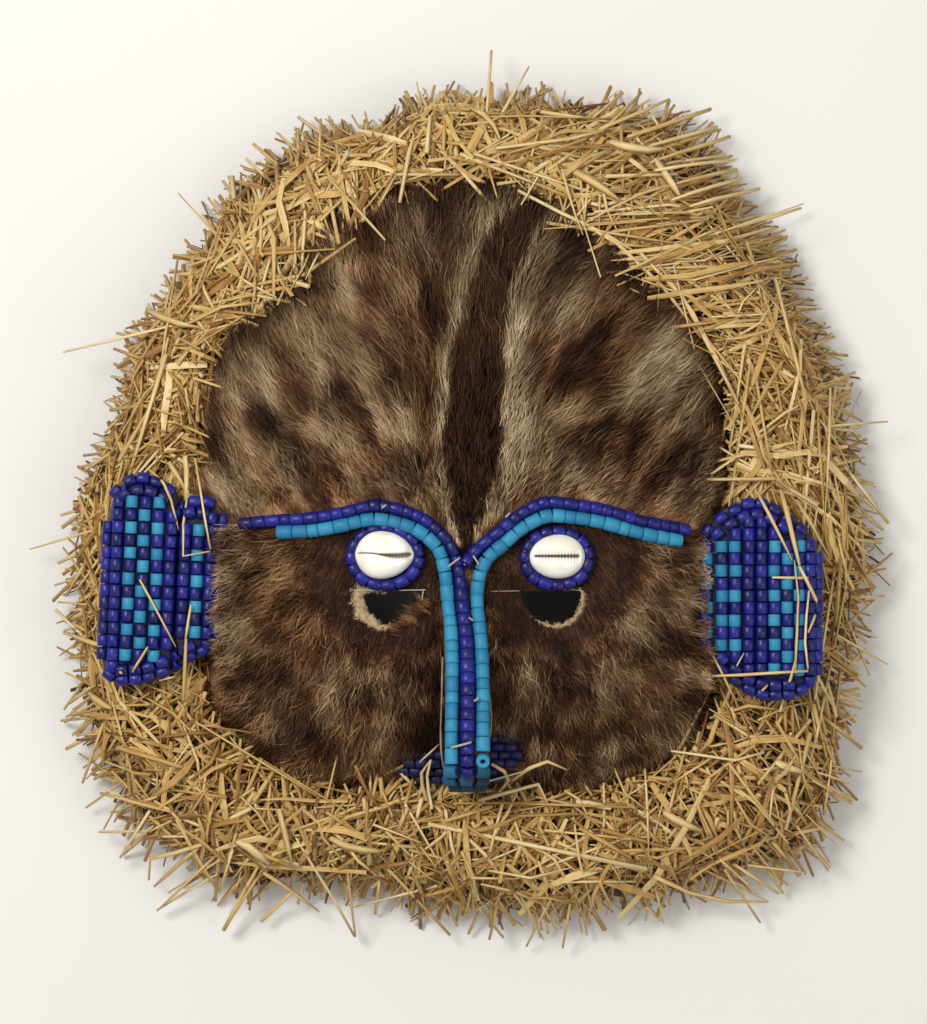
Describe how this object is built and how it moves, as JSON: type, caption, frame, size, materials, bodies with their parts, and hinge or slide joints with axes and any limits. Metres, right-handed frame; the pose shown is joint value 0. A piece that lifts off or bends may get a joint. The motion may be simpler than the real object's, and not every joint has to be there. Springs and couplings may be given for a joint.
{
  "type": "african mask",
  "caption": "Furred face mask lying on its back, with cowrie eyes, beaded brow, nose and ears, open eye holes and a ruff of straw.",
  "frame": {"origin": "on the surface that the mask lies on, under the middle of its bounding box", "axes": "+Z out of the face, away from the surface it lies on; +Y toward the top of the mask; +X toward the viewer's right"},
  "size_m": [0.3507, 0.3669, 0.0832],
  "materials": {
    "wood": "carved light wood, brown, unvarnished",
    "forehead_fur": "hide with long banded fur, pale, red-brown and dark",
    "cheek_fur": "hide with shorter brown fur",
    "dark_beads": "glossy opaque dark blue glass beads",
    "light_beads": "satin opaque light blue glass beads",
    "cowrie_shell": "polished white cowrie shell",
    "straw": "dry pale gold straw stems"
  },
  "bodies": {
    "root": {"face_shell": "wood", "forehead_pelt": "forehead_fur", "left_cheek_pelt": "cheek_fur", "right_cheek_pelt": "cheek_fur", "nose": "wood", "mouth": "dark_beads", "left_cowrie": "cowrie_shell", "right_cowrie": "cowrie_shell", "left_eye_ring": "dark_beads", "right_eye_ring": "dark_beads", "left_dark_string": "dark_beads", "left_light_string": "light_beads", "right_light_string": "light_beads", "right_dark_string": "dark_beads", "left_ear": "dark_beads", "right_ear": "dark_beads", "straw_fringe": "straw"}
  },
  "joints": []
}
